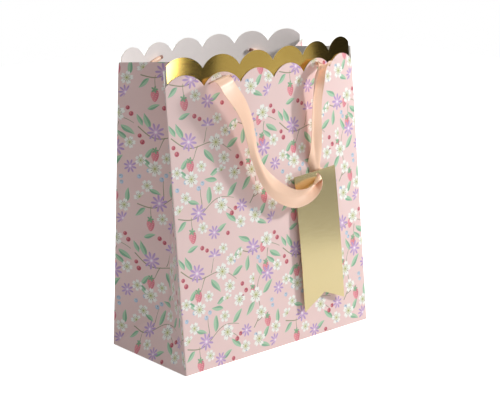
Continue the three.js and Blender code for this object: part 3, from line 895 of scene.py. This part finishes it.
# %% A smooth route through stations
def smooth_route(stations, steps):
    """Every number of the stations as a smooth curve through them, evenly stepped along it."""
    table = np.array(stations, float)
    gaps = np.linalg.norm(np.diff(table[:, :3], axis=0), axis=1)
    knots = np.concatenate([[0], np.cumsum(gaps ** 0.8)])
    slopes = np.gradient(table, knots, axis=0)
    dense = np.linspace(0, knots[-1], 4000)
    k = np.clip(np.searchsorted(knots, dense, side="right") - 1, 0, len(knots) - 2)
    h = (knots[k + 1] - knots[k])[:, None]
    u = (dense - knots[k])[:, None] / h
    curve = ((2 * u**3 - 3 * u**2 + 1) * table[k] + (u**3 - 2 * u**2 + u) * h * slopes[k]
             + (3 * u**2 - 2 * u**3) * table[k + 1] + (u**3 - u**2) * h * slopes[k + 1])
    length = np.concatenate([[0], np.cumsum(np.linalg.norm(np.diff(curve[:, :3], axis=0), axis=1))])
    even = np.linspace(0, length[-1], steps + 1)
    route = np.stack([np.interp(even, length, column) for column in curve.T], axis=1)
    return route, length[-1]


def section(u, width, curl, crease, crease_at):
    """The ribbon's cross-section, from edge to edge, as points (across, face)."""
    fine = np.linspace(-1, 1, 81)
    turn = np.radians(curl) * fine / 2 + np.radians(crease) / 2 * np.tanh((fine - crease_at) / 0.09)
    x = np.concatenate([[0], np.cumsum(np.cos((turn[1:] + turn[:-1]) / 2))]) * width / 80
    y = -np.concatenate([[0], np.cumsum(np.sin((turn[1:] + turn[:-1]) / 2))]) * width / 80
    return np.interp(u, fine, x - x.mean()), np.interp(u, fine, y - y.mean())


def lay_ribbon(name, stations, steps, columns=16):
    route, length = smooth_route(stations, steps)
    centre = route[:, :3]
    along = np.gradient(centre, axis=0)
    along /= np.linalg.norm(along, axis=1)[:, None]
    across = route[:, 3:6] - along * np.sum(route[:, 3:6] * along, axis=1)[:, None]
    across /= np.linalg.norm(across, axis=1)[:, None]
    face = np.cross(along, across)
    u = np.linspace(-1, 1, columns + 1)
    ribbon, i, j = flat_sheet(name, list(u), list(range(steps + 1)))
    lay_flat(ribbon, u[i] * RIBBON_WIDTH / 2, j * length / steps)
    rows = [section(u, RIBBON_WIDTH, *route[k, 6:9]) for k in range(steps + 1)]
    x = np.array([rows[q][0][p] for p, q in zip(i, j)])
    y = np.array([rows[q][1][p] for p, q in zip(i, j)])
    move_points(ribbon, centre[j] + across[j] * x[:, None] + face[j] * y[:, None])
    finish_with(ribbon, ribbon_satin)
    thicken(ribbon, 0.0003)
    smooth(ribbon, 60)
    report(ribbon)
    print(f"{name}: {length * 1000:.0f} mm of ribbon")
    return ribbon, length


# %% The front ribbon's route
def through_slot(wall, hand, reaches):
    """Stations from inside the mouth out through a slot, at (reach, rise, share of the slant)."""
    middle, line, outward = slot_place(wall, hand)
    level = Vector((-hand, 0, 0))
    return [(*(middle + outward * reach + Vector((0, 0, rise))), *level.lerp(line, slant), 0, 0, 0)
            for reach, rise, slant in reaches]


OUT_OF_SLOT = [(-0.0042, 0.0, 1), (0.0, 0.0, 1), (0.0030, 0.0006, 1), (0.0060, 0.0017, 0.8),
               (0.0080, 0.0016, 0.5)]
hanging = [
    (-54.6, -43.4, 223.4, 1, 0.04, 0.1, 0, 0, 0), (-53.2, -44.8, 219.8, 0.98, 0.1, 0.14, 4, 0, 0),
    (-49.6, -46.2, 214.2, 0.95, 0.18, 0.24, 8, 0, 0), (-43.8, -47.4, 206, 0.93, 0.26, 0.34, 12, 0, 0),
    (-37.8, -48.4, 194, 0.92, 0.34, 0.3, 16, 10, 0.2), (-33.6, -49.0, 180, 0.92, 0.32, 0.28, 16, 25, -0.2),
    (-29.2, -49.6, 164, 0.9, 0.25, 0.42, 10, 55, -0.35), (-22.8, -50.4, 149.5, 0.8, 0.15, 0.6, 0, 65, -0.3),
    (-13, -50.8, 137, 0.6, 0.02, 0.8, 0, 35, -0.2), (0, -51.2, 127.4, 0.35, 0, 0.94, 0, 0, 0.1),
    (11, -51.6, 123.2, 0.1, 0, 1, -6, -20, 0.12), (21, -51.8, 123.8, -0.14, -0.05, 1, -10, -55, 0.1),
    (29.4, -51.2, 127.0, -0.3, -0.08, 0.95, -25, -75, 0.08),
    (35.4, -49.8, 130.8, -0.36, 0, 0.92, -80, -90, 0.04),
    (39.2, -47.6, 132.8, -0.2, 0.2, 0.95, -200, -70, 0), (41.2, -44.9, 133.4, 0, 0.2, 0.98, -280, -30, 0),
    (42.6, -42.6, 135.2, -0.5, 0.2, 0.8, -250, 0, 0), (42.4, -41.9, 141.0, -1, 0.05, 0.1, 200, -30, 0),
    (41.2, -42.4, 148, -1, 0.04, 0, 150, -45, 0), (40.0, -43.2, 156, -1, -0.1, 0, 80, -60, 0),
    (38.8, -44.0, 168, -1, -0.22, 0, 25, -60, 0.1), (38.2, -44.6, 188, -1, -0.3, 0, 8, -45, 0.1),
    (38.6, -44.4, 201, -1, -0.3, 0.04, 5, -60, 0.1), (40.4, -43.8, 211, -1, -0.25, 0.06, 0, -90, 0.1),
    (42.6, -43.0, 217.6, -1, -0.15, 0, 0, -120, 0.05), (45.2, -41.8, 221.8, -1, 0, -0.1, 0, -130, 0),
    (48.8, -40.2, 224.2, -0.95, 0.05, -0.2, 0, -110, 0), (52.4, -39.0, 225.0, -0.95, 0, -0.2, 0, -60, 0),
]
in_metres = [tuple(c / 1000 for c in s[:3]) + s[3:] for s in hanging]
front_stations = (through_slot("front", -1, OUT_OF_SLOT) + in_metres
                  + through_slot("front", 1, OUT_OF_SLOT[:2])[::-1])
front_ribbon, front_length = lay_ribbon("front_ribbon", front_stations, 330)

# %% The back ribbon hangs in a plain U
hanging = [
    (55.2, 55.8, 224.0, -1, 0, 0, 0, 0, 0), (55.0, 56.9, 220.9, -1, 0, 0.02, 0, 0, 0),
    (53.6, 57.6, 215.5, -1, 0, 0.06, 5, 0, 0), (50.2, 57.8, 205, -1, 0, 0.1, 8, 0, 0),
    (46, 57, 188, -1, 0, 0.15, 8, 0, 0), (40.4, 56, 170, -0.96, 0, 0.28, 8, 0, 0),
    (33, 55.2, 152, -0.9, 0, 0.43, 6, 0, 0), (22, 54.4, 137, -0.75, 0, 0.66, 4, 0, 0),
    (10, 54.0, 129.5, -0.4, 0, 0.92, 2, 0, 0),
]
right_half = [tuple(c / 1000 for c in s[:3]) + s[3:] for s in hanging]
left_half = [(-s[0], s[1], s[2], -s[3], *s[4:]) for s in right_half]
ends = [through_slot("back", hand, OUT_OF_SLOT) for hand in (-1, 1)]
back_stations = ends[0] + left_half + [(0, 0.0539, 0.128, 0, 0, 1, 0, 0, 0)]
back_stations += right_half[::-1] + ends[1][::-1]
back_ribbon, back_length = lay_ribbon("back_ribbon", back_stations, 300)

# %% [markdown]
# ## Ribbon stops
# Inside the mouth each ribbon is wound round a small flat bar that can't pass back through the slot.
# The bar starts as a box, is bevelled until its ends are round, and is cut across on each side of its
# middle, where the ribbon goes round it.

# %% Finish of the bars: a dark brown that is painted shade
shade_brown_bar_material, bar_tree, bar_shader = new_material("stop bar in painted shade brown", Roughness=0.35, Specular_IOR_Level=0.5)
place = wire(bar_tree, "ShaderNodeTexCoord").outputs["Object"]
bar_mottle = cloud(bar_tree, place, 900.0, 3.0)
# The bar's dark brown is painted shade: it stands in for the shaded rolled ribbon ends inside the mouth.
# The noise mottles it at random.
mottle(bar_tree, bar_shader, bar_mottle, "8a5a48", "a87460")
add_bump(bar_tree, bar_shader, bar_mottle, 0.2, 0.0001)


# %% One bar and one wrap, copied to the four slots
def rounded_box(size, radius):
    select_only()
    bpy.ops.mesh.primitive_cube_add(size=1, scale=size)
    box = bpy.context.object
    bpy.ops.object.transform_apply(location=False, rotation=False, scale=True)
    rounded_edges = box.modifiers.new("round", "BEVEL")
    rounded_edges.width, rounded_edges.segments = radius, 4
    apply_modifiers(box)
    return box


def stop_bar():
    bar = rounded_box((0.0165, 0.0022, 0.0030), 0.00095)
    bpy.ops.object.mode_set(mode="EDIT")
    for cut in (-0.0058, 0.0058):
        bpy.ops.mesh.select_all(action="SELECT")
        bpy.ops.mesh.bisect(plane_co=(cut, 0, 0), plane_no=(1, 0, 0))
    bpy.ops.object.mode_set(mode="OBJECT")
    finish_with(bar, shade_brown_bar_material)
    return bar


def ribbon_wrap():
    """The ribbon's end, wound round the middle of the bar."""
    wrap = rounded_box((0.0112, 0.0029, 0.0036), 0.0013)
    finish_with(wrap, ribbon_satin)
    return wrap


stops = []
for make, kind in ((stop_bar, "stop_bar"), (ribbon_wrap, "stop_wrap")):
    pattern = make()
    for wall in WALLS:
        for hand, side in ((-1, "left"), (1, "right")):
            middle, line, outward = slot_place(wall, hand)
            inside = (PAPER + CARD) / 2 + GAP + CARD / 2 + 0.0019
            turned = Matrix((line, outward, line.cross(outward))).transposed().to_4x4()
            piece = pattern.copy()
            piece.data = pattern.data.copy()
            piece.name = piece.data.name = f"{kind}_{wall}_{side}"
            lift = Vector((0, 0, {"left": 0.005, "right": 0.001}[side] if wall == "back" else 0))
            piece.data.transform(Matrix.Translation(middle + lift - outward * inside) @ turned)
            scene.collection.objects.link(piece)
            smooth(piece, 40)
            stops.append(piece)
    bpy.data.objects.remove(pattern)
print(len(stops), "stop pieces")

# %% [markdown]
# ## Hang tag
# The tag is foil card with a swallow tail. It hangs nearly plumb by a slit that the ribbon is
# gathered through, and it is bowed a little, as card that was once rolled.

# %% Cut the tag
TAG_WIDTH, TAG_LENGTH, TAG_NOTCH, TAG_CARD = 0.0455, 0.115, 0.0115, 0.0005
TAG_TOP = Vector((0.0384, -0.0441, 0.1402))
TAG_LEAN, TAG_ROLL = math.radians(2.7), math.radians(4.2)
columns = [TAG_WIDTH * (k / 24 - 0.5) for k in range(25)]
tag, i, j = flat_sheet("tag_card", columns, [k / 40 for k in range(41)])
x = np.array(columns)[i]
foot = -TAG_LENGTH + TAG_NOTCH * (1 - np.abs(x) / (TAG_WIDTH / 2))
z = foot * (1 - np.array([k / 40 for k in range(41)])[j])
bow = 0.0006 * np.cos(x / TAG_WIDTH * math.pi) + 0.0009 * np.sin(-z / TAG_LENGTH * math.pi)
lay_flat(tag, x, z)
move_points(tag, np.stack([x, -bow, z], axis=1))
thicken(tag, TAG_CARD, inside=0, edge=1)
select_only()
bpy.ops.mesh.primitive_cylinder_add(vertices=24, radius=0.0021, depth=0.01)
slit = bpy.context.object
slit.data.transform(Matrix.Translation((0.0026, 0, -0.0076)) @ Matrix.Diagonal((1, 1, 2.6, 1))
                    @ Matrix.Rotation(math.pi / 2, 4, "X"))
cut_away(tag, slit)
tag.data.transform(Matrix.Translation(TAG_TOP) @ Matrix.Rotation(-TAG_LEAN, 4, "X")
                   @ Matrix.Rotation(-TAG_ROLL, 4, "Y"))
finish_with(tag, tag_foil, card_edge)
smooth(tag, 40)
report(tag)

# %% [markdown]
# ## Pieces that stay as packed
# The bottom flaps, the base board and the glue flap are flat cut sheets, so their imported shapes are
# right and only need their finishes.

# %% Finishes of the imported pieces
kept = {
    "bottom_flap_front": flap_print, "bottom_flap_back": flap_print,
    "bottom_flap_left": paper_inside, "bottom_flap_right": paper_inside,
    "side_seam_flap": paper_inside, "base_board": grey_board,
}
for name, material in kept.items():
    finish_with(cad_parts[name], material)
print("packed pieces kept:", ", ".join(kept))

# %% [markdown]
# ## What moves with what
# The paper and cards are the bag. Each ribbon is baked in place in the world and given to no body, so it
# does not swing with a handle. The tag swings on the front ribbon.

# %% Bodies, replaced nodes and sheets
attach(shell, "bag")
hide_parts("front_panel", "back_panel", *[
    f"{hand}_gusset_{part}" for hand in ("left", "right")
    for part in ("front_half", "back_half", "base_triangle")])
for wall, card in cards.items():
    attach(card, "bag")
    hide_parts(f"{wall}_gilt_card")
for piece in stops:
    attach(piece, "bag")
for ribbon, wall, length, start, end in (
        (front_ribbon, "front", front_length, (0, -0.0355, 0.2262), (0, -0.0412, 0.2242)),
        (back_ribbon, "back", back_length, (0, 0.0490, 0.2262), (0, 0.0546, 0.2242))):
    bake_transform(ribbon)
    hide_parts(f"{wall}_ribbon_loop", f"{wall}_ribbon_end_left", f"{wall}_ribbon_end_right")
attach(tag, "tag")
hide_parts("hang_tag")

# %% [markdown]
# ## Floor and light
# The bag stands on a wide white floor in soft light. The large key light is at the right and in
# front, so the ribbon's shadow falls to its left and the left gusset stays in shade. Dark and
# bright boards outside the picture give the foil something to mirror, as in any studio.

# %% Floor
select_only()
bpy.ops.mesh.primitive_plane_add(size=2.6, location=(0, 0, -0.0002))
floor = bpy.context.object
floor.name = "floor"
floor_material, floor_tree, floor_shader = new_material(
    "white floor", Roughness=0.9, Specular_IOR_Level=0.1)
floor_shader.inputs["Base Color"].default_value = (0.93, 0.93, 0.93, 1)
floor_shader.inputs["Emission Color"].default_value = (1, 1, 1, 1)
seen = wire(floor_tree, "ShaderNodeLightPath").outputs["Is Camera Ray"]
floor_tree.links.new(sums(floor_tree, "MULTIPLY", seen, 0.75), floor_shader.inputs["Emission Strength"])
finish_with(floor, floor_material)


# %% Lights
def area_light(name, place, aim, size, power):
    place, aim = Vector(place), Vector(aim)
    bpy.ops.object.light_add(type="AREA", location=place,
                             rotation=(aim - place).to_track_quat("-Z", "Y").to_euler())
    lamp = bpy.context.object
    lamp.name = name
    lamp.data.shape, lamp.data.size = "DISK", size
    lamp.data.energy = power


area_light("key", (1.60, -1.05, 1.0), (0, 0, 0.12), 0.26, 31)
area_light("overhead", (0.1, 0.0, 1.9), (0, 0, 0), 1.4, 11)

# %% World: soft light for the bag, plain white behind it
world = bpy.data.worlds.new("studio")
scene.world = world
world.use_nodes = True
tree = world.node_tree
background = tree.nodes["Background"]
background.inputs["Color"].default_value = (1, 1, 1, 1)
backdrop = wire(tree, "ShaderNodeBackground", {"Color": (1, 1, 1, 1), "Strength": 1.0})
rays = wire(tree, "ShaderNodeLightPath")
to_camera, to_foil = rays.outputs["Is Camera Ray"], rays.outputs["Is Glossy Ray"]
tree.links.new(sums(tree, "MULTIPLY_ADD", to_foil, 0.34, 0.27), background.inputs["Strength"])
shown = wire(tree, "ShaderNodeMixShader", {0: to_camera, 1: background.outputs[0], 2: backdrop.outputs[0]})
tree.links.new(shown.outputs[0], tree.nodes["World Output"].inputs["Surface"])


# %% Boards that only the foil sees
def board(name, place, aim, width, height, foot, head):
    """An upright sheet that glows from its foot's brightness to its head's."""
    place, aim = Vector(place), Vector(aim)
    select_only()
    bpy.ops.mesh.primitive_plane_add(size=1)
    sheet = bpy.context.object
    sheet.name = sheet.data.name = name
    turned = (aim - place).to_track_quat("Z", "Y").to_matrix().to_4x4()
    sheet.data.transform(Matrix.Translation(place) @ turned @ Matrix.Diagonal((width, height, 1, 1)))
    material = bpy.data.materials.new(name)
    material.use_nodes = True
    tree = material.node_tree
    height_here = wire(tree, "ShaderNodeSeparateXYZ", {
        0: wire(tree, "ShaderNodeTexCoord").outputs["Generated"]}).outputs[2]
    strength = wire(tree, "ShaderNodeMapRange", {"Value": height_here, "To Min": foot, "To Max": head})
    glow = wire(tree, "ShaderNodeEmission", {"Strength": strength.outputs[0]})
    tree.links.new(glow.outputs[0], tree.nodes["Material Output"].inputs["Surface"])
    finish_with(sheet, material)
    sheet.visible_camera = sheet.visible_diffuse = sheet.visible_shadow = False
    sheet.visible_transmission = False


board("dark_board_right", (0.9, -0.30, 0.10), (0.05, 0, 0.15), 0.5, 0.5, 0.02, 0.02)
board("dark_board_low", (0.27, -0.31, 0.05), (0.04, -0.05, 0.05), 0.30, 0.11, 0.55, 0.24)
board("bright_strip", (0.02, -1.02, 0.15), (-0.08, -0.04, 0.23), 0.13, 0.5, 11.0, 11.0)
board("dark_strip", (0.21, -0.99, 0.15), (-0.08, -0.04, 0.23), 0.26, 0.5, 0.02, 0.02)
print("lights and boards placed")
